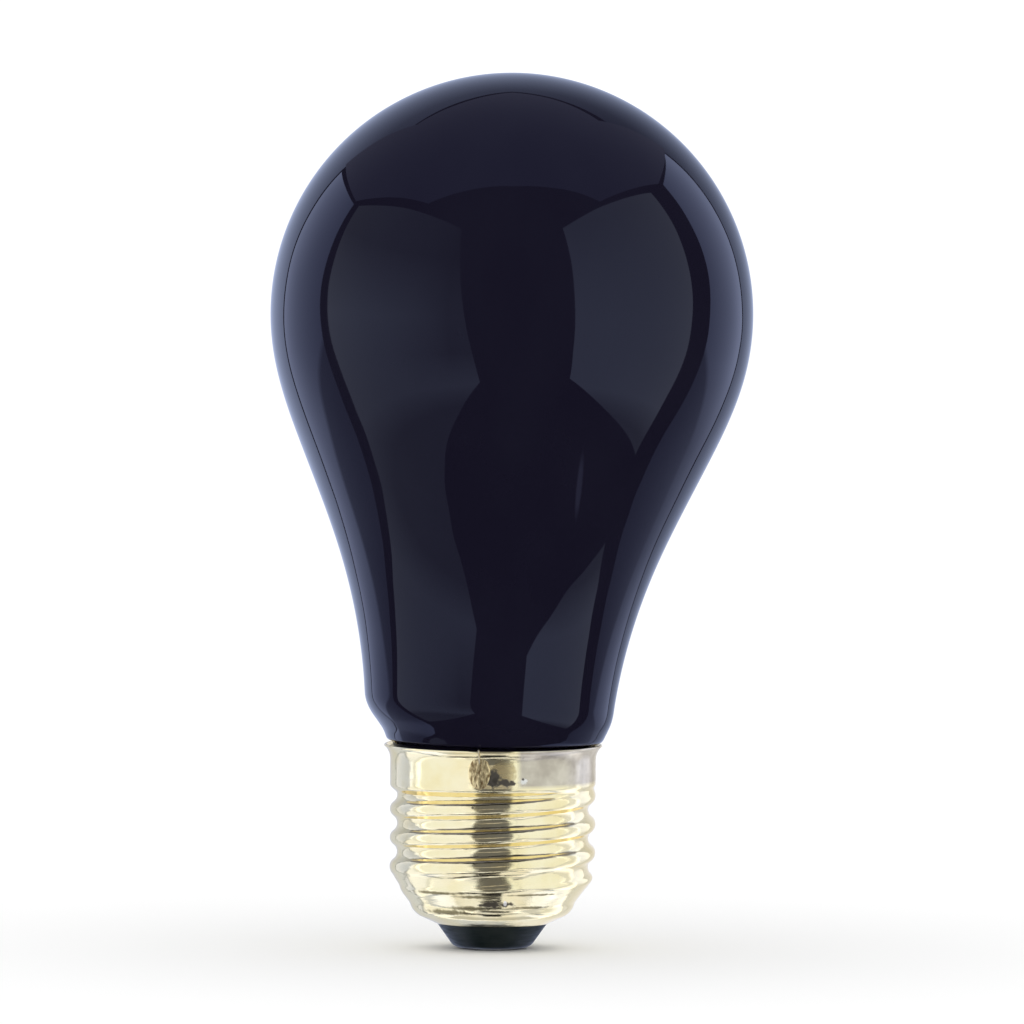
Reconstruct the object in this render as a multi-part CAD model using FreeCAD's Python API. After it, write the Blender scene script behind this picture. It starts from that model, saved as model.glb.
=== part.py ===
"""Black-light lamp: an opaque, dark violet glass bulb cemented in a medium (E26) screw cap.

Millimetres. +Z runs up the cap's axis, from the centre contact to the bulb's crown. The origin is the
middle of the centre contact's lowest face. -Y is the front. The bulb leans a little towards +X in its cap.
"""

import FreeCAD
import Part
import math
import os

from FreeCAD import Vector

# Screw cap: a cup of thin sheet brass, its thread rolled into the wall
CAP_HEIGHT = 25.7
CREST_RADIUS = 13.03
SHEET = 0.3
COLLAR_HEIGHT = 4.7
RIM_FLARE_RADIUS = 2.2
RIM_FLARE_ANGLE = 50.0
THREAD_PITCH = 3.629
THREAD_DEPTH = 0.92
THREAD_START_AZIMUTH = 180.0
THREAD_START_DROP = 1.55
COLLAR_BLEND = 1.4
SKIRT_BEND_RADIUS = 3.2
SKIRT_ANGLE = 37.0
WAIST_RADIUS = 1.5
WAIST_ANGLE = 18.0
BOWL_RADIUS = 2.3
BOWL_ROOM_SHARE = 0.8
LIP_ANGLE = 65.0
LIP_WIDTH = 2.2
LIP_OPENING_RADIUS = 7.15
LIP_HEIGHT = 3.2

# Insulator: black glass cast into the bottom of the cap
INSULATOR_FOOT_HEIGHT = 0.18
INSULATOR_FOOT_RADIUS = 4.85
INSULATOR_FOOT_ROUND = 1.3
INSULATOR_RIM_ANGLE = 36.0
INSULATOR_RIM_HEIGHT = 0.9
INSULATOR_DISH_DEPTH = 0.8
INSULATOR_HUB_RADIUS = 3.5
CASTING_CLEARANCE = 0.03

# Centre contact: a brass eyelet let into the insulator and closed with solder
EYELET_RADIUS = 2.9
EYELET_THICKNESS = 0.25
EYELET_SHANK_RADIUS = 1.3
EYELET_BORE_RADIUS = 0.85
EYELET_STAND = 0.6
SOLDER_RADIUS = 2.2
SOLDER_FLAT_RADIUS = 1.5
SOLDER_PLUG_HEIGHT = 2.0

# Bulb: blown glass, sealed and opaque, so one solid
GLOBE_RADIUS = 30.5
GLOBE_HEIGHT = 54.7
FLANK_RUN = 14.9
NECK_ANGLE = 6.5
NECK_RUN = 1.0
SHOULDER_RADIUS = 6.5
SHOULDER_ANGLE = 31.0
SHOULDER_RUN = 2.6
BEAD_RADIUS = 0.5
THROAT_RADIUS = 0.4
THROAT_ANGLE = 75.0
THROAT_RUN = 0.33
THROAT_RISE = 0.2
SEAL_ANGLE = 14.0
SEAL_DEPTH = 7.0
SEAL_ROUND = 1.3
NECK_CLEARANCE = 0.5
TIP_RADIUS = 2.2
TIP_LENGTH = 3.6
BULB_LEAN = 2.95
BULB_LEAN_HEIGHT = 1.5
BULB_SHIFT = 0.78
BULB_SHIFT_HEIGHT = 6.0

# Cement ring between the neck and the collar, slotted for the side wire
CEMENT_HEIGHT = 2.6
CEMENT_CLEARANCE = 0.03
CEMENT_SLOT_WIDTH = 0.6

# Lead wires, and the solder that ties one of them to the collar
WIRE_RADIUS = 0.1
WIRE_CLEARANCE = 0.03
WIRE_BEND_RADIUS = 1.0
CENTRE_WIRE_OFFSET = 3.4
CENTRE_WIRE_DROP = 6.2
CENTRE_WIRE_SLANT = 35.0
SIDE_WIRE_OFFSET = 6.0
SIDE_WIRE_DROP = 1.6
SIDE_WIRE_END = 1.2
SIDE_AZIMUTH = 262.5
SIDE_SOLDER_WIDTH = 2.7
SIDE_SOLDER_HEIGHT = 4.2
SIDE_SOLDER_PROUD = 0.28
SIDE_SOLDER_DROP = 0.5

# Spacing of the rings lofted into the shoulder, and of the control points round and up the rolled wall
SHOULDER_RING_STEP = 0.2
WALL_COLUMN_STEP = 2.2
WALL_ROW_STEP = 0.3

FULL_TURN = 360.0
ORIGIN = Vector(0, 0, 0)
UP = Vector(0, 0, 1)


def sin_of(degrees):
    return math.sin(math.radians(degrees))


def cos_of(degrees):
    return math.cos(math.radians(degrees))


def tan_of(degrees):
    return math.tan(math.radians(degrees))


def smooth_step(share):
    share = min(max(share, 0.0), 1.0)
    return share * share * (3 - 2 * share)


def direction(heading):
    """A unit step in the X-Z plane, at a heading from straight up and positive away from the axis."""
    return Vector(sin_of(heading), 0, cos_of(heading))


def right_of(heading):
    """The unit step across a heading, on its right-hand side."""
    return Vector(cos_of(heading), 0, -sin_of(heading))


class Outline:
    """A line in the X-Z half plane, drawn as a walk of straight runs and tangent arcs."""

    def __init__(self, radius, height, heading):
        self.point = Vector(radius, 0, height)
        self.heading = heading
        self.edges = []

    def line_to(self, radius, height):
        end = Vector(radius, 0, height)
        self.edges.append(Part.LineSegment(self.point, end).toShape())
        self.point = end

    def run(self, length):
        end = self.point + direction(self.heading) * length
        self.line_to(end.x, end.z)

    def arc(self, radius, heading):
        reach = math.copysign(radius, heading - self.heading)
        centre = self.point + right_of(self.heading) * reach
        middle = centre - right_of((self.heading + heading) / 2) * reach
        end = centre - right_of(heading) * reach
        self.edges.append(Part.Arc(self.point, middle, end).toShape())
        self.point = end
        self.heading = heading

    def bend_to(self, radius, heading, target):
        """A run, an arc to the new heading and a second run, which ends at the target."""
        bend = Outline(0, 0, self.heading)
        bend.arc(radius, heading)
        left = target - self.point - bend.point
        first = direction(self.heading)
        second = direction(heading)
        span = first.x * second.z - first.z * second.x
        self.run((left.x * second.z - left.z * second.x) / span)
        self.arc(radius, heading)
        self.run((first.x * left.z - first.z * left.x) / span)

    def wire(self):
        return Part.Wire(self.edges)

    def turned(self):
        """The closed outline turned once round the axis."""
        start = self.edges[0].firstVertex().Point
        if self.point.distanceToPoint(start) > Part.Precision.confusion():
            self.line_to(start.x, start.z)
        return Part.Face(self.wire()).revolve(ORIGIN, UP, FULL_TURN)

    def tube(self, radius):
        """A round wire along the walk."""
        start = self.edges[0].firstVertex().Point
        along = self.edges[0].tangentAt(self.edges[0].FirstParameter)
        profile = Part.Wire(Part.makeCircle(radius, start, along))
        return self.wire().makePipeShell([profile], True, False)


def arc_reach(radius, start, end):
    """How far from the axis, or towards it, an arc between two headings carries the walk."""
    return abs(radius * (cos_of(end) - cos_of(start)))


def arc_rise(radius, start, end):
    """How far up an arc between two headings carries the walk."""
    return abs(radius * (sin_of(end) - sin_of(start)))


def flare_foot():
    """The height where the collar begins to flare out to the rim."""
    return CAP_HEIGHT - arc_rise(RIM_FLARE_RADIUS, 0, RIM_FLARE_ANGLE)


def collar_foot():
    """The height where the plain collar ends and the thread begins."""
    return CAP_HEIGHT - COLLAR_HEIGHT


def bowl_radius():
    """The rounding of the cap's bottom, no larger than the width between lip and crest allows."""
    room = CREST_RADIUS - LIP_OPENING_RADIUS - LIP_WIDTH * sin_of(LIP_ANGLE)
    room -= arc_reach(WAIST_RADIUS, WAIST_ANGLE, SKIRT_ANGLE)
    room -= arc_reach(SKIRT_BEND_RADIUS, SKIRT_ANGLE, 0)
    return min(BOWL_RADIUS, BOWL_ROOM_SHARE * room / arc_reach(1, LIP_ANGLE, WAIST_ANGLE))


def waist_height():
    """The height of the hollow between the bowl and the skirt."""
    lip_rise = LIP_WIDTH * cos_of(LIP_ANGLE)
    return LIP_HEIGHT + lip_rise + arc_rise(bowl_radius(), LIP_ANGLE, WAIST_ANGLE)


def skirt_outline():
    """The outside of the cap without its thread, from the lip's opening up to the skirt's top."""
    outline = Outline(LIP_OPENING_RADIUS, LIP_HEIGHT, LIP_ANGLE)
    outline.run(LIP_WIDTH)
    outline.arc(bowl_radius(), WAIST_ANGLE)
    outline.arc(WAIST_RADIUS, SKIRT_ANGLE)
    reach = CREST_RADIUS - outline.point.x - arc_reach(SKIRT_BEND_RADIUS, SKIRT_ANGLE, 0)
    outline.run(reach / sin_of(SKIRT_ANGLE))
    outline.arc(SKIRT_BEND_RADIUS, 0)
    return outline


def cap_outline():
    """The outside of the cap without its thread, from the lip's opening up to the rim."""
    outline = skirt_outline()
    outline.run(flare_foot() - outline.point.z)
    outline.arc(RIM_FLARE_RADIUS, RIM_FLARE_ANGLE)
    return outline


def wall_stations():
    """Points up the cap's plain outline at even steps, each with its unit step into the sheet."""
    wire = cap_outline().wire()
    rows = round(wire.Length / WALL_ROW_STEP)
    points = wire.discretize(Number=rows + 1)
    if points[0].z > points[-1].z:
        points.reverse()
    stations = []
    for index, point in enumerate(points):
        along = points[min(index + 1, rows)] - points[max(index - 1, 0)]
        along.normalize()
        stations.append((point, Vector(-along.z, 0, along.x)))
    return stations


def groove_wave(offset):
    """The depth of the thread's groove at a distance from its middle: equal arcs at root and crest."""
    quarter = THREAD_PITCH / 4
    form_radius = (quarter**2 + THREAD_DEPTH**2 / 4) / THREAD_DEPTH
    if abs(offset) < quarter:
        return THREAD_DEPTH - form_radius + math.sqrt(form_radius**2 - offset**2)
    return form_radius - math.sqrt(form_radius**2 - (2 * quarter - abs(offset)) ** 2)


def groove_depth(azimuth, height, waist, skirt):
    """How far the rolled thread lies below the plain wall.

    The collar's foot cuts the groove off level, and below the skirt's top it soon runs out.
    """
    turn = (azimuth - THREAD_START_AZIMUTH) / FULL_TURN
    offset = height - collar_foot() + THREAD_START_DROP - turn * THREAD_PITCH
    offset -= round(offset / THREAD_PITCH) * THREAD_PITCH
    below_collar = smooth_step((collar_foot() - height) / COLLAR_BLEND)
    above_waist = min(max((height - offset - waist) / (skirt - waist), 0.0), 1.0)
    return groove_wave(offset) * below_collar * above_waist**2


def wall_poles(inset):
    """Control points of the threaded wall, one list for each azimuth, from the lip up to the rim.

    They stand a little proud, by what a cubic surface cuts off a circle and a wave.
    """
    waist = waist_height()
    skirt = skirt_outline().point.z
    stations = wall_stations()
    columns = round(2 * math.pi * CREST_RADIUS / WALL_COLUMN_STEP)
    round_gain = 3 / (2 + cos_of(FULL_TURN / columns))
    wave_gain = 3 / (2 + cos_of(FULL_TURN * WALL_ROW_STEP / THREAD_PITCH))
    poles = []
    for column in range(columns):
        azimuth = column * FULL_TURN / columns
        line = []
        for point, inward in stations:
            place = point + inward * inset
            depth = groove_depth(azimuth, point.z, waist, skirt) * wave_gain
            radius = (place.x - depth) * round_gain
            line.append(Vector(radius * cos_of(azimuth), radius * sin_of(azimuth), place.z))
        poles.append(line)
    return poles


def wall_surface(inset):
    """The threaded wall, inset from the outside of the sheet, as one smooth surface round the axis."""
    poles = wall_poles(inset)
    spans = len(poles[0]) - 3
    around_knots = [float(knot) for knot in range(len(poles) + 1)]
    upward_knots = [float(knot) for knot in range(spans + 1)]
    around_mults = [1] * len(around_knots)
    upward_mults = [4] + [1] * (spans - 1) + [4]
    surface = Part.BSplineSurface()
    surface.buildFromPolesMultsKnots(
        poles, around_mults, upward_mults, around_knots, upward_knots, True, False, 3, 3
    )
    return surface.toShape()


def end_rings(wall):
    """The two closed edges of a wall, the lip's first."""
    rings = [edge for edge in wall.Edges if edge.isClosed()]
    return sorted(rings, key=lambda edge: edge.BoundBox.ZMin)


def screw_shell():
    """The cap's rolled sheet: an outer and an inner wall, joined at the lip and at the rim."""
    outer = wall_surface(0)
    inner = wall_surface(SHEET)
    closings = [Part.makeRuledSurface(*pair) for pair in zip(end_rings(outer), end_rings(inner))]
    skin = Part.makeCompound([outer, inner, *closings])
    skin.sewShape()
    solid = Part.Solid(Part.Shell(skin.Faces))
    if solid.Volume < 0:
        solid.reverse()
    return solid


def wall_radius():
    """The inside of the plain collar."""
    return CREST_RADIUS - SHEET


def seal_radius(height):
    """The radius of the sealed neck at a height inside the cap."""
    return wall_radius() - NECK_CLEARANCE + (height - flare_foot()) * tan_of(SEAL_ANGLE)


def seal_end():
    """The height of the sealed neck's flat end."""
    return CAP_HEIGHT - SEAL_DEPTH


def seal_outline():
    """The sealed end of the neck, with the stub of its exhaust tube, upright in the cap."""
    outline = Outline(0, seal_end() - TIP_LENGTH, 90)
    outline.arc(TIP_RADIUS, 0)
    outline.line_to(TIP_RADIUS, seal_end())
    cut_back = SEAL_ROUND * tan_of((90 - SEAL_ANGLE) / 2)
    outline.line_to(seal_radius(seal_end()) - cut_back, seal_end())
    outline.heading = 90
    outline.arc(SEAL_ROUND, SEAL_ANGLE)
    outline.line_to(seal_radius(CAP_HEIGHT), CAP_HEIGHT)
    outline.line_to(0, CAP_HEIGHT)
    return outline


def shoulder_outline():
    """The throat, the bead over the rim, the shoulder and the lower neck, at heights above the rim."""
    outline = Outline(seal_radius(CAP_HEIGHT), 0, SEAL_ANGLE)
    outline.run(THROAT_RISE)
    outline.arc(THROAT_RADIUS, THROAT_ANGLE)
    outline.run(THROAT_RUN)
    outline.arc(BEAD_RADIUS, SHOULDER_ANGLE)
    outline.run(SHOULDER_RUN)
    outline.arc(SHOULDER_RADIUS, NECK_ANGLE)
    outline.run(NECK_RUN)
    return outline


def globe_outline():
    """The neck's long hollow, the straight flank and the globe, at heights above the cap's rim.

    The hollow's radius and the flank's slope follow from the globe, the neck and the flank's length.
    """
    neck = shoulder_outline().point
    drop = neck.z - GLOBE_HEIGHT
    squares = neck.x**2 + drop**2 - GLOBE_RADIUS**2 - FLANK_RUN**2
    hollow = squares / (2 * (GLOBE_RADIUS - neck.x * cos_of(NECK_ANGLE) + drop * sin_of(NECK_ANGLE)))
    centre = neck + right_of(NECK_ANGLE) * hollow
    slope = math.atan2(GLOBE_HEIGHT - centre.z, centre.x)
    slope -= math.atan2(FLANK_RUN, GLOBE_RADIUS + hollow)
    outline = Outline(0, neck.z, 90)
    outline.run(neck.x)
    outline.heading = NECK_ANGLE
    outline.arc(hollow, math.degrees(slope))
    outline.run(FLANK_RUN)
    outline.arc(GLOBE_RADIUS, -90)
    return outline


def lean(shape, height):
    """Stands a slice of the bulb on the cap: upright at the rim, and above it leaning and off centre."""
    shape.rotate(ORIGIN, Vector(0, 1, 0), BULB_LEAN * smooth_step(height / BULB_LEAN_HEIGHT))
    shift = BULB_SHIFT * smooth_step(height / BULB_SHIFT_HEIGHT)
    shape.translate(Vector(-shift, 0, CAP_HEIGHT))
    return shape


def glass_bulb():
    """The upright seal, the shoulder that bends over and the leaning globe, as one solid."""
    rings = []
    profile = shoulder_outline().wire()
    for point in profile.discretize(Number=round(profile.Length / SHOULDER_RING_STEP) + 1):
        ring = Part.Wire(Part.makeCircle(point.x, Vector(0, 0, point.z), UP))
        rings.append(lean(ring, point.z))
    shoulder = Part.makeLoft(rings, True, False)
    globe = lean(globe_outline().turned(), GLOBE_HEIGHT)
    return seal_outline().turned().fuse([shoulder, globe]).removeSplitter().Solids[0]


def basing_cement():
    """The ring that holds the neck in the collar."""
    top = flare_foot()
    bottom = top - CEMENT_HEIGHT
    outer = wall_radius() - CEMENT_CLEARANCE
    gap = CEMENT_CLEARANCE / cos_of(SEAL_ANGLE)
    outline = Outline(seal_radius(bottom) + gap, bottom, 0)
    outline.line_to(outer, bottom)
    outline.line_to(outer, top)
    outline.line_to(seal_radius(top) + gap, top)
    corner = Vector(0, -CEMENT_SLOT_WIDTH / 2, bottom)
    slot = Part.makeBox(CREST_RADIUS, CEMENT_SLOT_WIDTH, CEMENT_HEIGHT, corner)
    slot.rotate(ORIGIN, UP, SIDE_AZIMUTH)
    return outline.turned().cut(slot)


def insulator_outline():
    """Black glass: a cone under the lip and a flange that fills the bowl, with a seat for the eyelet."""
    lip_edge = LIP_OPENING_RADIUS - SHEET * cos_of(LIP_ANGLE) - CASTING_CLEARANCE
    seat = INSULATOR_FOOT_HEIGHT + EYELET_THICKNESS
    recess = EYELET_RADIUS + CASTING_CLEARANCE
    bore = EYELET_SHANK_RADIUS + CASTING_CLEARANCE
    cone_slope = math.atan2(lip_edge - INSULATOR_FOOT_RADIUS, LIP_HEIGHT - INSULATOR_FOOT_HEIGHT)
    cone_angle = math.degrees(cone_slope)
    outline = Outline(bore, seat, 90)
    outline.line_to(recess, seat)
    outline.line_to(recess, INSULATOR_FOOT_HEIGHT)
    cut_back = INSULATOR_FOOT_ROUND * tan_of((90 - cone_angle) / 2)
    outline.line_to(INSULATOR_FOOT_RADIUS - cut_back, INSULATOR_FOOT_HEIGHT)
    outline.heading = 90
    outline.arc(INSULATOR_FOOT_ROUND, cone_angle)
    outline.line_to(lip_edge, LIP_HEIGHT)
    inset = SHEET + CASTING_CLEARANCE
    outline.line_to(lip_edge, LIP_HEIGHT + inset * sin_of(LIP_ANGLE))
    lip_end = Vector(LIP_OPENING_RADIUS, 0, LIP_HEIGHT) + direction(LIP_ANGLE) * LIP_WIDTH
    lip_end -= right_of(LIP_ANGLE) * inset
    outline.line_to(lip_end.x, lip_end.z)
    outline.heading = LIP_ANGLE
    outline.arc(bowl_radius() - inset, INSULATOR_RIM_ANGLE)
    outline.heading = 0
    outline.run(INSULATOR_RIM_HEIGHT)
    hub = outline.point.z - INSULATOR_DISH_DEPTH
    outline.line_to(INSULATOR_HUB_RADIUS, hub)
    outline.line_to(bore, hub)
    return outline


def base_insulator():
    return insulator_outline().turned()


def contact_eyelet():
    """A brass tube through the insulator, with a flange let into its foot."""
    top = insulator_outline().point.z + EYELET_STAND
    seat = INSULATOR_FOOT_HEIGHT + EYELET_THICKNESS
    outline = Outline(EYELET_BORE_RADIUS, INSULATOR_FOOT_HEIGHT, 90)
    outline.line_to(EYELET_RADIUS, INSULATOR_FOOT_HEIGHT)
    outline.line_to(EYELET_RADIUS, seat)
    outline.line_to(EYELET_SHANK_RADIUS, seat)
    outline.line_to(EYELET_SHANK_RADIUS, top)
    outline.line_to(EYELET_BORE_RADIUS, top)
    return outline.turned()


def contact_solder():
    """A flat drop of solder under the eyelet, with its plug in the bore."""
    reach = SOLDER_RADIUS - SOLDER_FLAT_RADIUS
    edge_angle = 2 * math.degrees(math.atan2(INSULATOR_FOOT_HEIGHT, reach))
    plug = EYELET_BORE_RADIUS - CASTING_CLEARANCE
    outline = Outline(0, 0, 90)
    outline.run(SOLDER_FLAT_RADIUS)
    outline.arc(reach / sin_of(edge_angle), 90 - edge_angle)
    outline.line_to(plug, INSULATOR_FOOT_HEIGHT)
    outline.line_to(plug, SOLDER_PLUG_HEIGHT)
    outline.line_to(0, SOLDER_PLUG_HEIGHT)
    return outline.turned()


def centre_lead_wire():
    """From the neck's end to the solder in the eyelet."""
    slant = 180 + CENTRE_WIRE_SLANT
    wire = Outline(CENTRE_WIRE_OFFSET, seal_end(), 180)
    middle = Vector(CENTRE_WIRE_OFFSET / 2, 0, seal_end() - CENTRE_WIRE_DROP)
    wire.bend_to(WIRE_BEND_RADIUS, slant, middle)
    wire.bend_to(WIRE_BEND_RADIUS, 180, Vector(0, 0, SOLDER_PLUG_HEIGHT))
    return wire.tube(WIRE_RADIUS)


def side_lead_wire():
    """From the neck's end up between neck and collar, over the rim and down the collar's face."""
    stand_off = WIRE_RADIUS + WIRE_CLEARANCE
    wire = Outline(SIDE_WIRE_OFFSET, seal_end(), 180)
    lowest = Vector(SIDE_WIRE_OFFSET + 2 * WIRE_BEND_RADIUS, 0, seal_end() - SIDE_WIRE_DROP)
    wire.bend_to(WIRE_BEND_RADIUS, 90, lowest)
    wire.bend_to(WIRE_BEND_RADIUS, SEAL_ANGLE, Vector(wall_radius() - NECK_CLEARANCE / 2, 0, flare_foot()))
    rim_edge = cap_outline().point - right_of(RIM_FLARE_ANGLE) * SHEET / 2
    hook_radius = SHEET / 2 + stand_off
    hook_start = rim_edge - right_of(RIM_FLARE_ANGLE) * hook_radius
    wire.bend_to(WIRE_BEND_RADIUS, RIM_FLARE_ANGLE, hook_start)
    wire.arc(hook_radius, RIM_FLARE_ANGLE + 180)
    wire.arc(RIM_FLARE_RADIUS - stand_off, 180)
    wire.run(SIDE_WIRE_END)
    tube = wire.tube(WIRE_RADIUS)
    tube.rotate(ORIGIN, UP, SIDE_AZIMUTH)
    return tube


def side_solder():
    """A low oval of solder on the collar, over the end of the side wire."""
    oval = Part.makeSphere(1)
    size = FreeCAD.Matrix()
    size.scale(SIDE_SOLDER_PROUD, SIDE_SOLDER_WIDTH / 2, SIDE_SOLDER_HEIGHT / 2)
    oval = oval.transformGeometry(size)
    middle = CAP_HEIGHT - SIDE_SOLDER_DROP - SIDE_SOLDER_HEIGHT / 2
    oval.translate(Vector(CREST_RADIUS, 0, middle))
    oval.rotate(ORIGIN, UP, SIDE_AZIMUTH)
    collar = Outline(0, LIP_HEIGHT, 90)
    collar.run(CREST_RADIUS)
    collar.line_to(CREST_RADIUS, flare_foot())
    collar.heading = 0
    collar.arc(RIM_FLARE_RADIUS, RIM_FLARE_ANGLE)
    collar.line_to(0, CAP_HEIGHT)
    return oval.cut([collar.turned(), side_lead_wire()])


def main():
    os.makedirs("parts", exist_ok=True)
    makers = (
        glass_bulb,
        basing_cement,
        screw_shell,
        base_insulator,
        contact_eyelet,
        contact_solder,
        centre_lead_wire,
        side_lead_wire,
        side_solder,
    )
    for maker in makers:
        maker().exportStep(f"parts/{maker.__name__}.step")


main()
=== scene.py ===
"""Looks for the black-light lamp: glass, cap, insulator and solder, and the studio that they mirror.

The frame is the CAD's: +Z runs up the cap's axis from the centre contact, and -Y faces the camera.
Places in the studio are in metres. The sizes of the lamp are in millimetres, as in the CAD source.
"""

import math
from typing import NamedTuple

import bpy
from mathutils import Matrix, Quaternion, Vector

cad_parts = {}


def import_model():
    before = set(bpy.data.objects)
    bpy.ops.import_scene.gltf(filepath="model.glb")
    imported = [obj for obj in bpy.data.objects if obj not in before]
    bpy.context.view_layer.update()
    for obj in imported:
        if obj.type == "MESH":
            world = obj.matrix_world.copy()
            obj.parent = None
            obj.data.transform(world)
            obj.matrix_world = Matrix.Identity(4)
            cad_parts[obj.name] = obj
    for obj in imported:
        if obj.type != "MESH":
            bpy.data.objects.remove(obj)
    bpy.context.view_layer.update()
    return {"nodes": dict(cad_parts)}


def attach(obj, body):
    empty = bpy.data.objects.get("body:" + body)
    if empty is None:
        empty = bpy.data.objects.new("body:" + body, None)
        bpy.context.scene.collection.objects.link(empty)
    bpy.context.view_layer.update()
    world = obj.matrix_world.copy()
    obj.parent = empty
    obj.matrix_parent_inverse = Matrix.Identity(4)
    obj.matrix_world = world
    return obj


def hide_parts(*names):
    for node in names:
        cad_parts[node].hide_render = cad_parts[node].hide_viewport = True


MM = 0.001

# Camera: a long lens, a little above the cap's rim
CAMERA_PLACE = (0.0, -1.3, 0.1134)
CAMERA_TARGET = (0.0022, 0.0, 0.0553)
CAMERA_LENS = 361.7
CAMERA_SENSOR = 36.0
CAMERA_ROLL = math.radians(0.35)

# Studio: a white sweep. In reflections, a light tent in place of it
FLOOR_SIZE = 40.0
FLOOR_WHITE = 0.95
SWEEP_WHITE = 1.12
TENT_DARK = (0.02, 0.02, 0.025)
TENT_CENTRE = (0.0, 0.0, 0.08)

# The tent's softboxes, and the wings behind them: (Y, Z) outlines on its side walls
SIDE_WALL = 0.7
LEFT_SOFTBOX = ((-0.05, -0.78), (-2.36, -1.36), (-1.2, 1.27), (0.15, 0.57))
RIGHT_SOFTBOX = ((-0.03, -0.5), (-1.22, -0.66), (-1.22, 1.31), (0.14, 0.7))
LEFT_WING = ((-0.02, -1.4), (0.8, -1.4), (0.8, 0.64), (0.205, 0.56))
RIGHT_WING = ((-0.04, -1.4), (0.89, -1.4), (0.89, 0.8), (0.33, 0.68))

# Light of a softbox: its level in the middle, the slopes and the Y where it changes, and shares of the level
SOFTBOX_COLOUR = (0.92, 0.98, 1.02)
SOFTBOX_HEART = 0.82
SOFTBOX_BOTTOM = -0.6
SOFTBOX_FOOT = -0.78
SOFTBOX_FRONT = (-0.15, -1.2)
LEFT_LIGHT = {"top": 0.5, "top_share": 0.4, "bottom_share": 0.75, "foot_share": 0.34, "front_share": 0.4}
RIGHT_LIGHT = {"top": 0.9, "top_share": 0.65, "bottom_share": 1.05, "foot_share": 0.45, "front_share": 1.0}

# Light of a wing: (Y, level) at its front and rear, a slanting edge, and the heights where it changes
WING_COLOUR = (0.68, 0.77, 1.10)
WING_FRONT = (0.15, 0.74)
WING_REAR = (0.75, 1.2)
WING_TILT = 0.93
WING_EDGE_SOFTNESS = (-0.02, 0.03)
LEFT_WING_EDGE = 0.098
RIGHT_WING_EDGE = 0.135
WING_DIM = 0.42
WING_DIM_END = (-0.6, -0.9)
WING_FOOT = (-0.1, -0.35)
LEFT_WING_FOOT_SHARE = 1.0
RIGHT_WING_FOOT_SHARE = 0.55

# The back wall, dimmer at its top and to the right
BACK_WALL = (
    (-0.69, 0.83, -1.4), (0.69, 0.92, -1.4), (0.69, 0.92, 1.34), (0.0, 0.88, 1.02), (-0.69, 0.83, 1.28),
)
BACK_COLOUR = (0.64, 0.74, 1.05)
BACK_TOP = 0.95
BACK_TOP_SHARE = 0.38
BACK_RIGHT = (-0.2, 0.6)
BACK_RIGHT_SHARE = 0.6

# The ceiling, as (azimuth, elevation) from the tent's centre. Azimuth 0 is the front, and 90 the right
CEILING_DISTANCE = 1.2
CEILING_MIDDLE = (0, 85)
CEILING_RIM = (
    (0, 64), (-58, 48.5), (-107, 34.3), (-142, 28.1), (-143, 49.5), (-160, 51), (180, 48),
    (162, 50.3), (146, 51), (146, 30.6), (113, 39.4), (62, 49),
)
CEILING_COLOUR = (0.20, 0.21, 0.29)

# Cards beside the lamp that light the cap, its solder and its side wire alone: (Y, Z) outlines
CARD_WALL = 0.69
LEFT_FILL = ((-0.1, -0.72), (-2.36, -2.4), (-1.2, 1.27), (0.15, 0.57))
RIGHT_FILL = ((-0.03, -0.72), (-1.22, -1.4), (-1.22, 1.31), (0.14, 0.7))
FILL_COLOUR = (1.0, 1.05, 1.22)
LEFT_CARD = ((-0.1, -0.75), (0.15, 1.3), (0.2, 1.3), (0.2, -0.1), (0.8, -0.75))
RIGHT_CARD = ((-0.03, -0.75), (0.12, 1.3), (0.3, 1.3), (0.3, -0.1), (0.8, -0.75))
SIDE_CARD_COLOUR = (0.76, 0.80, 0.90)

# Cards for the same pieces: the corners of one across the right rear corner of the tent, and those in front
# by their Y, left, right, bottom and top
REAR_CARD = ((0.68, 0.27, -0.8), (0.04, 0.82, -0.8), (0.04, 0.82, 0.5), (0.68, 0.27, 0.5))
REAR_CARD_COLOUR = (0.34, 0.35, 0.38)
FRONT_CARD = (-0.8, -0.38, 0.3, -0.8, 0.9)
FRONT_CARD_COLOUR = (0.12, 0.125, 0.14)
RIGHT_FRONT_CARD = (-0.8, 0.3, 0.45, -0.8, 0.9)
WARM_CARD = (-0.79, -0.38, 0.3, -0.075, 0.005)
WARM_CARD_COLOUR = (0.42, 0.39, 0.34)

# Cards for the same pieces below the lamp: (X, Y) outlines
LOW_CARD_HEIGHT = -0.9
FAR_LOW_CARD = ((-0.75, -0.75), (0.75, -0.75), (0.75, -0.47), (-0.75, -0.55))
FAR_LOW_COLOUR = (0.80, 0.84, 0.96)
NEAR_LOW_CARD = (
    (-0.75, -0.28), (-0.22, -0.34), (-0.11, -0.14), (0.11, -0.14),
    (0.15, -0.36), (0.75, -0.42), (0.75, 0.75), (-0.75, 0.75),
)
NEAR_LOW_COLOUR = (0.90, 0.94, 1.06)
NEAR_LOW_REAR = (-0.08, 0.1)
NEAR_LOW_REAR_SHARE = 0.6

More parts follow.
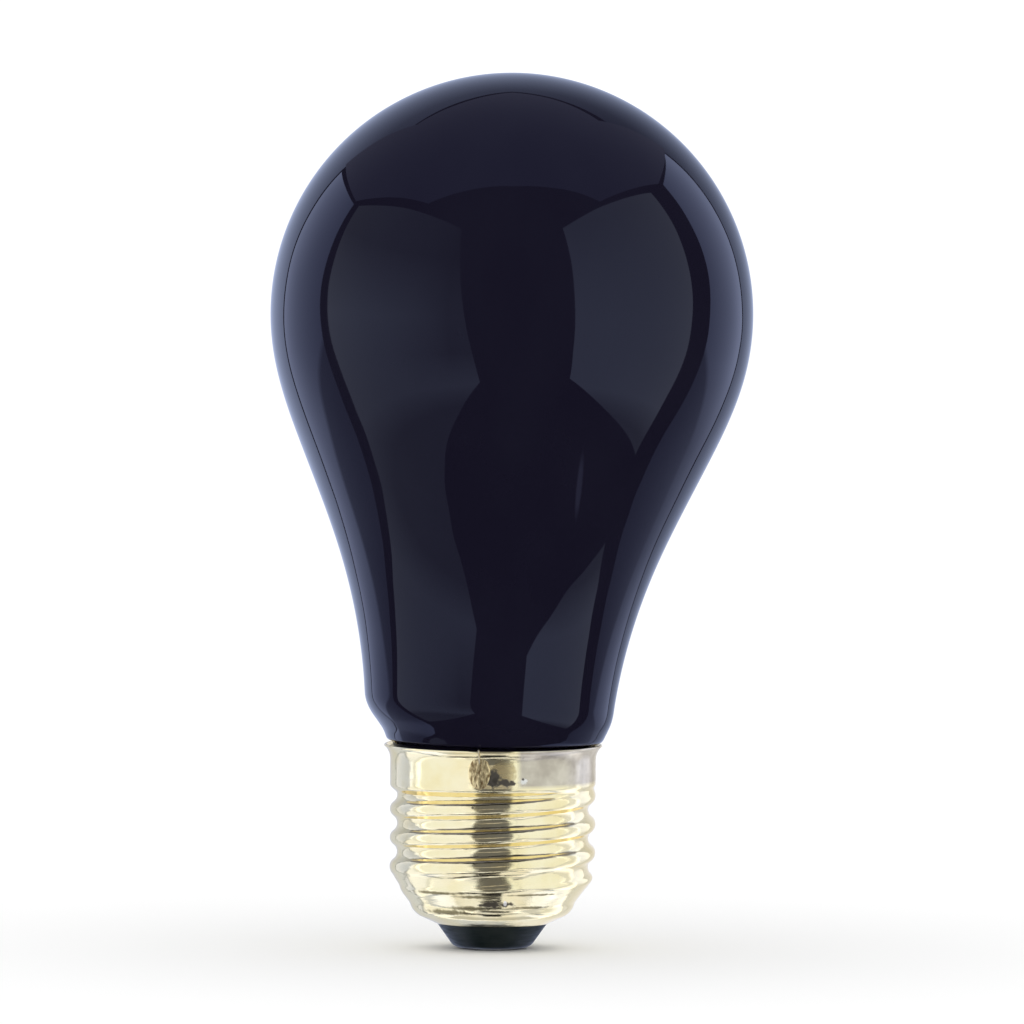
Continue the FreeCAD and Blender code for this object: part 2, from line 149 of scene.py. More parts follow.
# Glass bulb
CAP_HEIGHT = 25.7
GLOBE_RADIUS = 30.5
GLOBE_HEIGHT = 54.7
FLANK_RUN = 14.9
FLANK_EASE = 6.0
NECK_ANGLE = 6.5
NECK_RUN = 1.0
SHOULDER_RADIUS = 6.5
SHOULDER_ANGLE = 31.0
SHOULDER_RUN = 2.6
BEAD_RADIUS = 0.5
THROAT_RADIUS = 0.4
THROAT_ANGLE = 75.0
THROAT_RUN = 0.33
THROAT_RISE = 0.2
SEAL_ANGLE = 14.0
SEAL_DEPTH = 7.0
SEAL_ROUND = 1.3
NECK_CLEARANCE = 0.5
TIP_RADIUS = 2.2
TIP_LENGTH = 3.6
BULB_LEAN = 2.95
BULB_LEAN_HEIGHT = 1.5
BULB_SHIFT = 0.78
BULB_SHIFT_HEIGHT = 6.0

# Screw cap
CREST_RADIUS = 13.03
SHEET = 0.3
RIM_ROUND = SHEET / 4
COLLAR_HEIGHT = 4.7
RIM_FLARE_RADIUS = 2.2
RIM_FLARE_ANGLE = 50.0
THREAD_PITCH = 3.629
THREAD_DEPTH = 0.92
THREAD_START_AZIMUTH = 180.0
THREAD_START_DROP = 1.55
COLLAR_BLEND = 1.4
SKIRT_BEND_RADIUS = 3.2
SKIRT_ANGLE = 37.0
WAIST_RADIUS = 1.5
WAIST_ANGLE = 18.0
BOWL_RADIUS = 2.3
LIP_ANGLE = 65.0
LIP_WIDTH = 2.2
LIP_OPENING_RADIUS = 7.15
LIP_HEIGHT = 3.2

# Fineness of the meshes
COLUMNS = 256
GLASS_STEP = 0.5
SHEET_STEP = 0.16
ARC_STEP = 6.0
EASE_STEPS = 6
INSIDE_EVERY = 3

# Pairs of colours that a noise blends, and tints of the reflections
VIOLET_GLASS = ((0.0070, 0.0060, 0.0142), (0.0082, 0.0074, 0.0162))
VIOLET_GLINT = (0.6, 0.68, 1.0, 1)
BRASS = ((0.98, 0.87, 0.56), (0.95, 0.81, 0.46))
BRASS_GLINT = (1.0, 0.9, 0.72, 1)
PALE_BRASS = ((0.68, 0.61, 0.48), (0.50, 0.44, 0.34))
BLACK_GLASS = ((0.010, 0.016, 0.017), (0.022, 0.028, 0.028))
CEMENT = ((0.42, 0.34, 0.24), (0.60, 0.52, 0.40))
TIN_SOLDER = ((0.5, 0.5, 0.5), (0.72, 0.72, 0.72))
BROWNED_SOLDER = ((0.22, 0.14, 0.06), (0.98, 0.80, 0.44))
LEAD_WIRE = ((0.5, 0.42, 0.3), (0.75, 0.68, 0.5))

# Noises on the surfaces, in waves to the metre
GLASS_WAVES = 45
GLASS_SMUDGES = 90
TARNISH = 260
ROLLING = 330
DENTS = 300
CAST_CLOUDS = 350
SCRATCHES = 500
METAL_GRAIN = 900
CEMENT_GRIT = 1200
MARK_FRAY = 1500

# How much closer those waves lie along X, Y and Z
SMUDGE_STRETCH = (1, 1, 0.5)
ROLLING_STRETCH = (1, 1, 9)
SCRATCH_STRETCH = (1, 1, 6)
SOLDER_STRETCH = (3.2, 3.2, 1.6)

# Spans of a noise over which it blends two colours or two values
MOST = (0.3, 0.7)
SMUDGED = (0.4, 0.7)
DULLED = (0.45, 0.75)
TARNISHED = (0.42, 0.68)
PALED = (0.4, 0.6)
CLOUDED = (0.35, 0.7)
GRAINED = (0.35, 0.65)

# Gloss: roughness, or the two values that a noise blends, and the index of refraction
GLASS_ROUGHNESS = (0.02, 0.05)
GLASS_IOR = 1.46
BRASS_ROUGHNESS = (0.09, 0.17)
CAST_GLASS_ROUGHNESS = (0.28, 0.5)
CAST_GLASS_IOR = 1.3
METAL_ROUGHNESS = 0.3
CEMENT_ROUGHNESS = 0.9

# Relief: its strength and its depth in metres
GLASS_RELIEF = (0.25, 0.0006)
BRASS_RELIEF = (0.35, 0.0002)
ROLLING_SHARE = 0.25
CAST_GLASS_RELIEF = (0.3, 0.0002)
METAL_RELIEF = (0.5, 0.0003)
CEMENT_RELIEF = (0.6, 0.0002)

# The pale patch at the right of the collar: what it adds to the roughness, and where it sets in across, above
# the collar's foot and towards the front
PALE_DULLNESS = 0.10
PALE_ACROSS = (2.9, 3.7)
PALE_FOOT = 0.5
PALE_FRONT = (1.5, -4.0)


class StainOrPaintedLight(NamedTuple):
    """Ovals of one colour, each by its centre and its half size, across and up. Some are stains, and some
    painted highlights, shade and reflections.

    Dullness is what they add to the roughness. The soft edge is a share of the oval, and wobble frays it.
    """

    ovals: tuple
    colour: tuple
    dullness: float
    edge: float = 0.3
    wobble: float = 0.0


GILT = StainOrPaintedLight(((1.3, 23.2, 1.9, 1.9),), (0.80, 0.66, 0.36), 0.14, wobble=0.15)
SCORCH_OVALS = ((-0.1, 22.3, 1.1, 1.3), (1.3, 21.9, 1.6, 0.75))
SCORCH = StainOrPaintedLight(SCORCH_OVALS, (0.17, 0.15, 0.12), 0.28, edge=0.5, wobble=0.4)
# A pit in the collar: a painted highlight on its rim, and painted shade in its hollow.
PIT_RIM_GLINT = StainOrPaintedLight(((3.85, 22.1, 0.65, 0.4),), (0.95, 0.92, 0.84), 0.13, edge=0.8, wobble=0.5)
PIT_SHADE = StainOrPaintedLight(((3.75, 22.3, 0.26, 0.22),), (0.12, 0.10, 0.08), 0.38, edge=0.9, wobble=0.3)
# Painted dark reflections: thin wavy dark bands across the dome.
DOME_REFLECTION_OVALS = (
    (-5.6, 5.2, 3.4, 0.42), (-2.8, 5.8, 3.2, 0.42), (4.6, 5.9, 3.2, 0.22),
    (-7.0, 7.7, 3.8, 0.27), (-2.2, 7.35, 3.6, 0.27), (5.0, 7.6, 4.2, 0.18),
)
DOME_DARK_REFLECTIONS = StainOrPaintedLight(DOME_REFLECTION_OVALS, (0.31, 0.26, 0.14), 0.10, edge=0.6, wobble=0.22)
# A painted dark reflection: a wide darker oval at the middle of the dome.
DOME_MIDDLE_REFLECTION = StainOrPaintedLight(((0.2, 6.35, 2.6, 0.5),), (0.13, 0.11, 0.08), 0.23, edge=0.6, wobble=0.4)
# A painted highlight: a small bright spot on the dome.
DOME_GLINT = StainOrPaintedLight(((1.6, 6.55, 0.25, 0.35),), (1.0, 0.95, 0.85), 0.08, wobble=0.2)
SPECK = StainOrPaintedLight(((-2.5, 18.7, 0.3, 0.25),), (0.2, 0.16, 0.10), 0.28, edge=0.9)
CAP_STAINS_AND_PAINTED_LIGHT = (GILT, SCORCH, PIT_RIM_GLINT, PIT_SHADE, DOME_DARK_REFLECTIONS, DOME_MIDDLE_REFLECTION, DOME_GLINT, SPECK)

# A painted reflection on the glass, a narrow lighter streak: an oval, its softness, its lean to the right for
# each mm up, and its colour
REFLECTION_STREAK = (10.5, 59.6, 0.45, 5.0)
REFLECTION_STREAK_EDGE = 0.6
REFLECTION_STREAK_SLANT = 0.09
REFLECTION_STREAK_COLOUR = (0.017, 0.017, 0.033)


def smooth_step(share):
    share = min(max(share, 0.0), 1.0)
    return share * share * (3 - 2 * share)


class Walk:
    """A profile of radius and height, walked in short runs and arcs. Headings are from straight up."""

    def __init__(self, radius, height, heading, step):
        self.radius = radius
        self.height = height
        self.heading = heading
        self.step = step
        self.points = [(radius, height)]

    def move(self, length, heading):
        self.radius += length * math.sin(math.radians(heading))
        self.height += length * math.cos(math.radians(heading))
        self.points.append((self.radius, self.height))

    def run(self, length):
        count = max(1, math.ceil(length / self.step))
        for _ in range(count):
            self.move(length / count, self.heading)

    def arc(self, radius, heading):
        turn = heading - self.heading
        length = radius * math.radians(abs(turn))
        count = math.ceil(max(length / self.step, abs(turn) / ARC_STEP))
        chord = 2 * radius * math.sin(math.radians(abs(turn) / count / 2))
        for index in range(count):
            self.move(chord, self.heading + turn * (index + 0.5) / count)
        self.heading = heading

    def line_to(self, radius, height):
        way = Vector((radius - self.radius, height - self.height))
        self.heading = math.degrees(math.atan2(way.x, way.y))
        self.run(way.length)


def heading_along(distance, pieces):
    """The heading at a distance along pieces of (length, first heading, last heading)."""
    for length, first, last in pieces:
        if distance <= length or (length, first, last) == pieces[-1]:
            return first + (last - first) * distance / length
        distance -= length


def seal_radius(height):
    foot = CAP_HEIGHT - RIM_FLARE_RADIUS * math.sin(math.radians(RIM_FLARE_ANGLE))
    return CREST_RADIUS - SHEET - NECK_CLEARANCE + (height - foot) * math.tan(math.radians(SEAL_ANGLE))


def seal_profile():
    """The tip of the exhaust tube, the neck's flat end and the sealed neck, at heights above the rim."""
    walk = Walk(0, -SEAL_DEPTH - TIP_LENGTH, 90, GLASS_STEP)
    walk.arc(TIP_RADIUS, 0)
    walk.line_to(TIP_RADIUS, -SEAL_DEPTH)
    cut_back = SEAL_ROUND * math.tan(math.radians((90 - SEAL_ANGLE) / 2))
    walk.line_to(seal_radius(CAP_HEIGHT - SEAL_DEPTH) - cut_back, -SEAL_DEPTH)
    walk.arc(SEAL_ROUND, SEAL_ANGLE)
    walk.line_to(seal_radius(CAP_HEIGHT), 0)
    return walk


def walk_shoulder(walk):
    """The throat, the bead over the rim, the shoulder and the lower neck."""
    walk.heading = SEAL_ANGLE
    walk.run(THROAT_RISE)
    walk.arc(THROAT_RADIUS, THROAT_ANGLE)
    walk.run(THROAT_RUN)
    walk.arc(BEAD_RADIUS, SHOULDER_ANGLE)
    walk.run(SHOULDER_RUN)
    walk.arc(SHOULDER_RADIUS, NECK_ANGLE)
    walk.run(NECK_RUN)


def globe_pieces(radius, height):
    """The neck's long hollow, the flank and the globe above a point, as lengths and headings."""
    drop = height - GLOBE_HEIGHT
    angle = math.radians(NECK_ANGLE)
    squares = radius**2 + drop**2 - GLOBE_RADIUS**2 - FLANK_RUN**2
    hollow = squares / (2 * (GLOBE_RADIUS - radius * math.cos(angle) + drop * math.sin(angle)))
    centre = Vector((radius + math.cos(angle) * hollow, height - math.sin(angle) * hollow))
    slope = math.atan2(GLOBE_HEIGHT - centre.y, centre.x)
    slope -= math.atan2(FLANK_RUN, GLOBE_RADIUS + hollow)
    slope = math.degrees(slope)
    return (
        (hollow * math.radians(slope - NECK_ANGLE), NECK_ANGLE, slope),
        (FLANK_RUN, slope, slope),
        (GLOBE_RADIUS * math.radians(slope + 90), slope, -90.0),
    )


def walk_globe(walk):
    """From the neck to the crown, with the changes of curvature eased, as in blown glass."""
    pieces = globe_pieces(walk.radius, walk.height)
    length = sum(piece[0] for piece in pieces)
    count = math.ceil(length / GLASS_STEP)
    first = len(walk.points)
    for index in range(count):
        distance = (index + 0.5) * length / count
        ease = min(FLANK_EASE, distance)
        offsets = [ease * step / EASE_STEPS for step in range(-EASE_STEPS, EASE_STEPS + 1)]
        headings = [heading_along(distance + offset, pieces) for offset in offsets]
        walk.move(length / count, sum(headings) / len(headings))
    miss = Vector((-walk.radius, GLOBE_HEIGHT + GLOBE_RADIUS - walk.height))
    below_globe = pieces[0][0] + pieces[1][0]
    for index in range(count):
        radius, height = walk.points[first + index]
        share = smooth_step((index + 1) * length / count / below_globe)
        walk.points[first + index] = (radius + miss.x * share, height + miss.y * share)


def bulb_place(radius, height, azimuth):
    """A point of the bulb, which leans in its cap and is a little off centre above the rim."""
    point = Vector((radius * math.cos(azimuth), radius * math.sin(azimuth), height))
    lean = math.radians(BULB_LEAN) * smooth_step(height / BULB_LEAN_HEIGHT)
    shift = BULB_SHIFT * smooth_step(height / BULB_SHIFT_HEIGHT)
    return (Matrix.Rotation(lean, 3, "Y") @ point + Vector((-shift, 0, CAP_HEIGHT))) * MM


def skin(name, rings, looped=False):
    """A smooth mesh over rings of points. The last ring joins the first, or both ends close in a fan."""
    columns = len(rings[0])
    points = [point for ring in rings for point in ring]
    spans = len(rings) if looped else len(rings) - 1
    faces = []
    for row in range(spans):
        low = row * columns
        high = (row + 1) % len(rings) * columns
        for column in range(columns):
            after = (column + 1) % columns
            faces.append((low + column, low + after, high + after, high + column))
    if not looped:
        for start, step in ((0, -1), (len(points) - columns, 1)):
            ring = points[start : start + columns]
            hub = len(points)
            points.append(sum(ring, Vector()) / columns)
            for column in range(columns):
                pair = (start + column, start + (column + 1) % columns)
                faces.append((*pair[::step], hub))
    mesh = bpy.data.meshes.new(name)
    mesh.from_pydata(points, [], faces)
    mesh.shade_smooth()
    piece = bpy.data.objects.new(name, mesh)
    bpy.context.scene.collection.objects.link(piece)
    return piece


def azimuths():
    return [math.tau * column / COLUMNS for column in range(COLUMNS)]


def make_bulb():
    walk = seal_profile()
    walk_shoulder(walk)
    walk_globe(walk)
    rings = [[bulb_place(*point, azimuth) for azimuth in azimuths()] for point in walk.points[1:-1]]
    return skin("blown_bulb", rings)


def sheet_profile():
    """The outside of the cap without its thread, from the lip's opening up to the rim."""
    walk = Walk(LIP_OPENING_RADIUS, LIP_HEIGHT, LIP_ANGLE, SHEET_STEP)
    walk.run(LIP_WIDTH)
    walk.arc(BOWL_RADIUS, WAIST_ANGLE)
    waist = walk.height
    walk.arc(WAIST_RADIUS, SKIRT_ANGLE)
    bend = SKIRT_BEND_RADIUS * (1 - math.cos(math.radians(SKIRT_ANGLE)))
    walk.run((CREST_RADIUS - walk.radius - bend) / math.sin(math.radians(SKIRT_ANGLE)))
    walk.arc(SKIRT_BEND_RADIUS, 0)
    skirt = walk.height
    flare = RIM_FLARE_RADIUS * math.sin(math.radians(RIM_FLARE_ANGLE))
    walk.run(CAP_HEIGHT - flare - walk.height)
    walk.arc(RIM_FLARE_RADIUS, RIM_FLARE_ANGLE)
    return walk, waist, skirt


def groove_wave(offset):
    """The depth of the thread's groove at a distance from its middle: equal arcs at root and crest."""
    quarter = THREAD_PITCH / 4
    form_radius = (quarter**2 + THREAD_DEPTH**2 / 4) / THREAD_DEPTH
    if abs(offset) < quarter:
        return THREAD_DEPTH - form_radius + math.sqrt(form_radius**2 - offset**2)
    return form_radius - math.sqrt(form_radius**2 - (2 * quarter - abs(offset)) ** 2)


def groove_depth(azimuth, height, waist, skirt):
    """How far the rolled thread lies below the plain wall."""
    foot = CAP_HEIGHT - COLLAR_HEIGHT
    turn = (math.degrees(azimuth) - THREAD_START_AZIMUTH) / 360
    offset = height - foot + THREAD_START_DROP - turn * THREAD_PITCH
    offset -= round(offset / THREAD_PITCH) * THREAD_PITCH
    below_collar = smooth_step((foot - height) / COLLAR_BLEND)
    above_waist = min(max((height - offset - waist) / (skirt - waist), 0.0), 1.0)
    return groove_wave(offset) * below_collar * above_waist**2


def sheet_loop(outside):
    """The sheet's section: up the outside, over the rim, down the inside and round the lip."""
    inside = []
    for index, point in enumerate(outside):
        along = outside[min(index + 1, len(outside) - 1)] - outside[max(index - 1, 0)]
        inside.append(point + Vector((-along.y, along.x)).normalized() * SHEET)
    rim = (outside[-1] + inside[-1]) / 2 + (outside[-1] - outside[-2]).normalized() * RIM_ROUND
    lip = (outside[0] + inside[0]) / 2
    return [*outside, rim, *inside[::-INSIDE_EVERY], lip]


def make_cap():
    walk, waist, skirt = sheet_profile()
    rings = []
    for point in sheet_loop([Vector(point) for point in walk.points]):
        ring = []
        for azimuth in azimuths():
            radius = point.x - groove_depth(azimuth, point.y, waist, skirt)
            ring.append(Vector((radius * math.cos(azimuth), radius * math.sin(azimuth), point.y)) * MM)
        rings.append(ring)
    return skin("rolled_cap", rings, looped=True)


def add_camera():
    data = bpy.data.cameras.new("camera")
    data.lens = CAMERA_LENS
    data.sensor_width = CAMERA_SENSOR
    camera = bpy.data.objects.new("camera", data)
    camera.location = CAMERA_PLACE
    aim = Vector(CAMERA_TARGET) - Vector(CAMERA_PLACE)
    roll = Quaternion((0, 0, 1), CAMERA_ROLL)
    camera.rotation_euler = (aim.to_track_quat("-Z", "Y") @ roll).to_euler()
    bpy.context.scene.collection.objects.link(camera)
    bpy.context.scene.camera = camera


class Nodes:
    """Short names for building a node tree."""

    def __init__(self, tree):
        self.tree = tree
        tree.nodes.clear()

    def add(self, kind, settings=None, **inputs):
        """A node with its settings, and its sockets by name or number (i0 is the first), by value or link."""
        node = self.tree.nodes.new(kind)
        for name, value in (settings or {}).items():
            setattr(node, name, value)
        for name, value in inputs.items():
            socket = node.inputs[int(name[1:])] if name[1:].isdigit() else node.inputs[name.replace("_", " ")]
            if isinstance(value, bpy.types.NodeSocket):
                self.tree.links.new(value, socket)
            else:
                socket.default_value = value
        return node

    def math(self, operation, first, second=0.0):
        return self.add("ShaderNodeMath", {"operation": operation}, i0=first, i1=second).outputs[0]

    def axes(self, place):
        return self.add("ShaderNodeSeparateXYZ", i0=place).outputs

    def length(self, across, along):
        """The length of a flat vector."""
        flat = self.add("ShaderNodeCombineXYZ", i0=across, i1=along).outputs[0]
        return self.add("ShaderNodeVectorMath", {"operation": "LENGTH"}, i0=flat).outputs["Value"]

    def span(self, value, start, end, low=0.0, high=1.0, smooth=False, clamp=True):
        """Moves a value from one span to another and stops at its ends, unless clamp is off."""
        settings = {"interpolation_type": "SMOOTHSTEP" if smooth else "LINEAR", "clamp": clamp}
        node = self.add("ShaderNodeMapRange", settings, i0=value, i1=start, i2=end, i3=low, i4=high)
        return node.outputs[0]

    def noise(self, place, scale, stretch=(1, 1, 1), detail=2.0):
        """Soft noise between 0 and 1, with so many waves to the metre along each axis."""
        size = [scale * share for share in stretch]
        finer = self.add("ShaderNodeVectorMath", {"operation": "MULTIPLY"}, i0=place, i1=size).outputs[0]
        return self.add("ShaderNodeTexNoise", Vector=finer, Scale=1.0, Detail=detail).outputs[0]

    def bump(self, height, strength, distance):
        """Relief by a height between 0 and 1, its depth in metres."""
        return self.add("ShaderNodeBump", Height=height, Strength=strength, Distance=distance).outputs[0]

    def mix(self, share, first, second):
        node = self.add("ShaderNodeMix", {"data_type": "RGBA"}, i0=share)
        for index, colour in ((6, first), (7, second)):
            if isinstance(colour, bpy.types.NodeSocket):
                self.tree.links.new(colour, node.inputs[index])
            else:
                node.inputs[index].default_value = (*colour[:3], 1.0)
        return node.outputs[2]


def build_world():
    """White for the camera and for diffuse light. Mirrors see the dark room behind the tent."""
    world = bpy.data.worlds.new("studio")
    world.use_nodes = True
    bpy.context.scene.world = world
    nodes = Nodes(world.node_tree)
    mirrored = nodes.add("ShaderNodeLightPath").outputs["Is Glossy Ray"]
    seen = nodes.mix(mirrored, (SWEEP_WHITE, SWEEP_WHITE, SWEEP_WHITE), TENT_DARK)
    background = nodes.add("ShaderNodeBackground", Color=seen).outputs[0]
    nodes.add("ShaderNodeOutputWorld", Surface=background)


def stage_mesh(name, points, faces, shader):
    """A piece of the studio, with one plain shader."""
    mesh = bpy.data.meshes.new(name)
    mesh.from_pydata(points, [], faces)
    piece = bpy.data.objects.new(name, mesh)
    bpy.context.scene.collection.objects.link(piece)
    material = bpy.data.materials.new(name)
    material.use_nodes = True
    nodes = Nodes(material.node_tree)
    nodes.add("ShaderNodeOutputMaterial", Surface=shader(nodes))
    mesh.materials.append(material)
    return piece


def add_floor():
    half = FLOOR_SIZE / 2
    corners = ((-half, -half, 0), (half, -half, 0), (half, half, 0), (-half, half, 0))

    def matt(nodes):
        return nodes.add("ShaderNodeBsdfDiffuse", Color=(FLOOR_WHITE, FLOOR_WHITE, FLOOR_WHITE, 1)).outputs[0]

    floor = stage_mesh("floor", corners, [(0, 1, 2, 3)], matt)
    floor.visible_glossy = False


def even(nodes, axes):
    """The same light all over."""
    return 1.0


def softbox_light(top, top_share, bottom_share, foot_share, front_share):
    """Full beside the lamp, with shares of that level up, down and, except low down, to the front."""

    def light(nodes, axes):
        height = nodes.math("SUBTRACT", axes["Z"], TENT_CENTRE[2])
        slope = nodes.math("DIVIDE", height, nodes.length(axes["X"], axes["Y"]))
        up = nodes.span(slope, 0.0, top, SOFTBOX_HEART, SOFTBOX_HEART * top_share)
        bottom = nodes.span(slope, SOFTBOX_BOTTOM, SOFTBOX_FOOT, bottom_share, foot_share)
        down = nodes.span(slope, 0.0, SOFTBOX_BOTTOM, 1.0, bottom)
        share = nodes.span(slope, SOFTBOX_BOTTOM / 2, SOFTBOX_BOTTOM, front_share, 1.0)
        front = nodes.span(axes["Y"], *SOFTBOX_FRONT, 1.0, share)
        return nodes.math("MULTIPLY", nodes.math("MULTIPLY", up, down), front)

    return light


def softbox_rest(softbox):
    """What a softbox lacks to full light."""

    def light(nodes, axes):
        return nodes.math("SUBTRACT", 1.0, softbox(nodes, axes))

    return light


def wing_light(edge, foot_share):
    """Brighter to the rear, dimmer at the foot, and dim in front of and below a slanting edge."""

    def light(nodes, axes):
        rear = nodes.span(axes["Y"], WING_FRONT[0], WING_REAR[0], WING_FRONT[1], WING_REAR[1])
        across = nodes.math("ADD", axes["Z"], nodes.math("MULTIPLY", axes["Y"], WING_TILT))
        dim = nodes.span(axes["Z"], *WING_DIM_END, WING_DIM, 1.0)
        foot = nodes.span(axes["Z"], *WING_FOOT, 1.0, foot_share)
        start, end = (edge + softness for softness in WING_EDGE_SOFTNESS)
        return nodes.math("MULTIPLY", rear, nodes.span(across, start, end, dim, foot))

    return light


def back_light(nodes, axes):
    aside = nodes.span(axes["X"], *BACK_RIGHT, 1.0, BACK_RIGHT_SHARE)
    up = nodes.span(axes["Z"], TENT_CENTRE[2], BACK_TOP, 1.0, BACK_TOP_SHARE)
    return nodes.math("MULTIPLY", aside, up)


def near_low_light(nodes, axes):
    return nodes.span(axes["Y"], *NEAR_LOW_REAR, 1.0, NEAR_LOW_REAR_SHARE)


def add_panel(name, corners, colour, light=even, lit=None, faces=None):
    """A glowing panel that only reflections show. With a group of pieces, it is clear for all others."""

    def glow(nodes):
        place = nodes.add("ShaderNodeTexCoord").outputs["Object"]
        strength = light(nodes, nodes.axes(place))
        shine = nodes.add("ShaderNodeEmission", Color=(*colour, 1), Strength=strength).outputs[0]
        if lit is None:
            return shine
        clear = nodes.add("ShaderNodeBsdfTransparent").outputs[0]
        return nodes.add("ShaderNodeAddShader", i0=shine, i1=clear).outputs[0]

    panel = stage_mesh(name, corners, faces or [tuple(range(len(corners)))], glow)
    panel.light_linking.receiver_collection = lit
    panel.visible_camera = False
    panel.visible_diffuse = False
    panel.visible_shadow = False


def beside(across, outline):
    """Corners of a panel that stands at one X, from its outline in Y and Z."""
    return [(across, along, up) for along, up in outline]


def before(along, left, right, bottom, top):
    """Corners of an upright rectangle that stands at one Y."""
    return [(left, along, bottom), (right, along, bottom), (right, along, top), (left, along, top)]


def below(outline):
    """Corners of a card that lies below the lamp, from its outline in X and Y."""
    return [(across, along, LOW_CARD_HEIGHT) for across, along in outline]


def ceiling_point(azimuth, elevation):
    """A point of the ceiling by its direction from the tent's centre, with azimuth 0 in front."""
    turn = math.radians(azimuth)
    rise = math.radians(elevation)
    way = Vector((math.cos(rise) * math.sin(turn), -math.cos(rise) * math.cos(turn), math.sin(rise)))
    return Vector(TENT_CENTRE) + way * CEILING_DISTANCE


def build_tent():
    left_light = softbox_light(**LEFT_LIGHT)
    right_light = softbox_light(**RIGHT_LIGHT)
    add_panel("left_softbox", beside(-SIDE_WALL, LEFT_SOFTBOX), SOFTBOX_COLOUR, left_light)
    add_panel("right_softbox", beside(SIDE_WALL, RIGHT_SOFTBOX), SOFTBOX_COLOUR, right_light)
    left_light = wing_light(LEFT_WING_EDGE, LEFT_WING_FOOT_SHARE)
    right_light = wing_light(RIGHT_WING_EDGE, RIGHT_WING_FOOT_SHARE)
    add_panel("left_wing", beside(-SIDE_WALL, LEFT_WING), WING_COLOUR, left_light)
    add_panel("right_wing", beside(SIDE_WALL, RIGHT_WING), WING_COLOUR, right_light)
    add_panel("back_wall", BACK_WALL, BACK_COLOUR, back_light)
    rim = [ceiling_point(*way) for way in CEILING_RIM]
    hub = len(rim)
    fan = [(index, (index + 1) % hub, hub) for index in range(hub)]
    add_panel("ceiling", [*rim, ceiling_point(*CEILING_MIDDLE)], CEILING_COLOUR, faces=fan)


def add_cards(pieces):
    """Light for these pieces alone, which the photo shows more evenly lit than the glass."""
    lit = bpy.data.collections.new("cap_lit")
    for piece in pieces:
        lit.objects.link(piece)
    left_rest = softbox_rest(softbox_light(**LEFT_LIGHT))
    right_rest = softbox_rest(softbox_light(**RIGHT_LIGHT))
    add_panel("left_fill", beside(-CARD_WALL, LEFT_FILL), FILL_COLOUR, left_rest, lit)
    add_panel("right_fill", beside(CARD_WALL, RIGHT_FILL), FILL_COLOUR, right_rest, lit)
    add_panel("left_card", beside(-CARD_WALL, LEFT_CARD), SIDE_CARD_COLOUR, lit=lit)
    add_panel("right_card", beside(CARD_WALL, RIGHT_CARD), SIDE_CARD_COLOUR, lit=lit)
    add_panel("right_rear_card", REAR_CARD, REAR_CARD_COLOUR, lit=lit)
    add_panel("front_card", before(*FRONT_CARD), FRONT_CARD_COLOUR, lit=lit)
    add_panel("right_front_card", before(*RIGHT_FRONT_CARD), SOFTBOX_COLOUR, lit=lit)
    add_panel("warm_card", before(*WARM_CARD), WARM_CARD_COLOUR, lit=lit)
    add_panel("far_low_card", below(FAR_LOW_CARD), FAR_LOW_COLOUR, lit=lit)
    add_panel("near_low_card", below(NEAR_LOW_CARD), NEAR_LOW_COLOUR, near_low_light, lit)


def new_material(name):
    """A material with its node helper, its Principled shader and the coordinates of its surface."""
    material = bpy.data.materials.new(name)
    material.use_nodes = True
    nodes = Nodes(material.node_tree)
    shader = nodes.add("ShaderNodeBsdfPrincipled")
    nodes.add("ShaderNodeOutputMaterial", Surface=shader.outputs[0])
    place = nodes.add("ShaderNodeTexCoord").outputs["Object"]
    return material, nodes, shader, place


def plug(nodes, shader, **inputs):
    for name, value in inputs.items():
        socket = shader.inputs[name.replace("_", " ")]
        if isinstance(value, bpy.types.NodeSocket):
            nodes.tree.links.new(value, socket)
        else:
            socket.default_value = value


def mark(nodes, place, oval, edge, wobble=0.0, slant=0.0):
    """1 inside an oval on the front of the lamp, and 0 outside it. Its edge is soft and may be uneven."""
    across, up, half_width, half_height = (size * MM for size in oval)
    axes = nodes.axes(place)
    above = nodes.span(axes["Z"], up - half_height, up + half_height, -1.0, 1.0, clamp=False)
    upright = nodes.math("SUBTRACT", axes["X"], nodes.math("MULTIPLY", above, slant * half_height))
    aside = nodes.span(upright, across - half_width, across + half_width, -1.0, 1.0, clamp=False)
    reach = nodes.length(aside, above)
    if wobble:
        fray = nodes.span(nodes.noise(place, MARK_FRAY), *MOST, -wobble, wobble)
        reach = nodes.math("ADD", reach, fray)
    inside = nodes.span(reach, 1.0 - edge, 1.0, 1.0, 0.0, smooth=True)
    front = nodes.math("LESS_THAN", axes["Y"], 0.0)
    return nodes.math("MULTIPLY", inside, front)


def glass_material():
    """Deep violet glass, a little wavy, with faint smudges and a painted reflection: a narrow lighter streak.
    """
    material, nodes, shader, place = new_material("violet_glass")
    waves = nodes.noise(place, GLASS_WAVES)
    smudges = nodes.noise(place, GLASS_SMUDGES, SMUDGE_STRETCH, detail=5)
    body = nodes.mix(nodes.span(smudges, *SMUDGED), *VIOLET_GLASS)
    # A painted reflection: a lighter streak laid into the glass's colour.
    body = nodes.mix(mark(nodes, place, REFLECTION_STREAK, REFLECTION_STREAK_EDGE, slant=REFLECTION_STREAK_SLANT), body, REFLECTION_STREAK_COLOUR)
    plug(nodes, shader, Base_Color=body, IOR=GLASS_IOR)
    plug(nodes, shader, Roughness=nodes.span(smudges, *DULLED, *GLASS_ROUGHNESS))
    plug(nodes, shader, Specular_Tint=VIOLET_GLINT, Normal=nodes.bump(waves, *GLASS_RELIEF))
    return material


